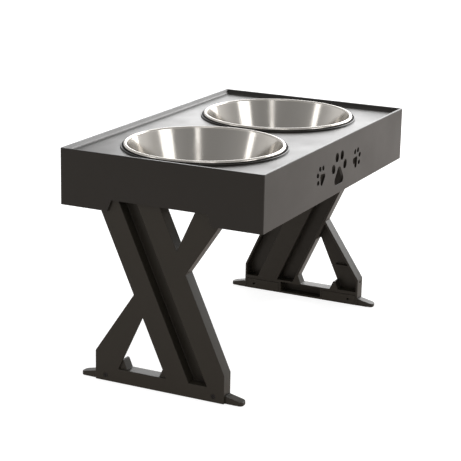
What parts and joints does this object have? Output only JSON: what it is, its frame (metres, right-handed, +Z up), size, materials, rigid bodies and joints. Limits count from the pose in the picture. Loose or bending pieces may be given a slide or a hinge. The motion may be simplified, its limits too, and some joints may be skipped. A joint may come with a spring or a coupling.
{
  "type": "raised pet feeder",
  "caption": "Raised pet feeder: a rimmed rectangular tray with lift-out steel bowls, paw cut-outs in its front wall, on plug-in X-shaped end legs with splayed feet.",
  "frame": {"origin": "on the floor, midway between the legs and between the front and rear walls", "axes": "+Z up, +X along the tray from its left end to its right end, -Y out of the front wall with the paw cut-outs"},
  "size_m": [0.45, 0.27, 0.288],
  "materials": {
    "tray_plastic": "satin black moulded plastic",
    "leg_plastic": "fine matt black moulded plastic",
    "stainless_steel": "polished spun stainless steel",
    "black_rubber": "matt black rubber",
    "blackened_screw_steel": "black oxide"
  },
  "bodies": {
    "left_leg": {"left_leg": "leg_plastic", "left_front_foot": "leg_plastic", "left_rear_foot": "leg_plastic", "left_front_pad": "black_rubber", "left_rear_pad": "black_rubber", "left_foot_screws": "blackened_screw_steel"},
    "tray": {"tray": "tray_plastic", "left_seat_ring": "black_rubber", "right_seat_ring": "black_rubber"},
    "right_leg": {"right_leg": "leg_plastic", "right_front_foot": "leg_plastic", "right_rear_foot": "leg_plastic", "right_front_pad": "black_rubber", "right_rear_pad": "black_rubber", "right_foot_screws": "blackened_screw_steel"},
    "left_bowl": {"left_bowl": "stainless_steel"},
    "right_bowl": {"right_bowl": "stainless_steel"}
  },
  "joints": [
    {"name": "tray_lift", "type": "slide", "parent": "left_leg", "child": "tray", "axis": [0, 0, 1], "range_m": [0, 0.06]},
    {"name": "right_leg_slide", "type": "slide", "parent": "tray", "child": "right_leg", "axis": [0, 0, -1], "range_m": [0, 0.06]},
    {"name": "left_bowl_lift", "type": "slide", "parent": "tray", "child": "left_bowl", "axis": [0, 0, 1], "range_m": [0, 0.08]},
    {"name": "right_bowl_lift", "type": "slide", "parent": "tray", "child": "right_bowl", "axis": [0, 0, 1], "range_m": [0, 0.08]}
  ],
  "couplings": [
    {"joint": "right_leg_slide", "follows": "tray_lift", "ratio": 1}
  ]
}
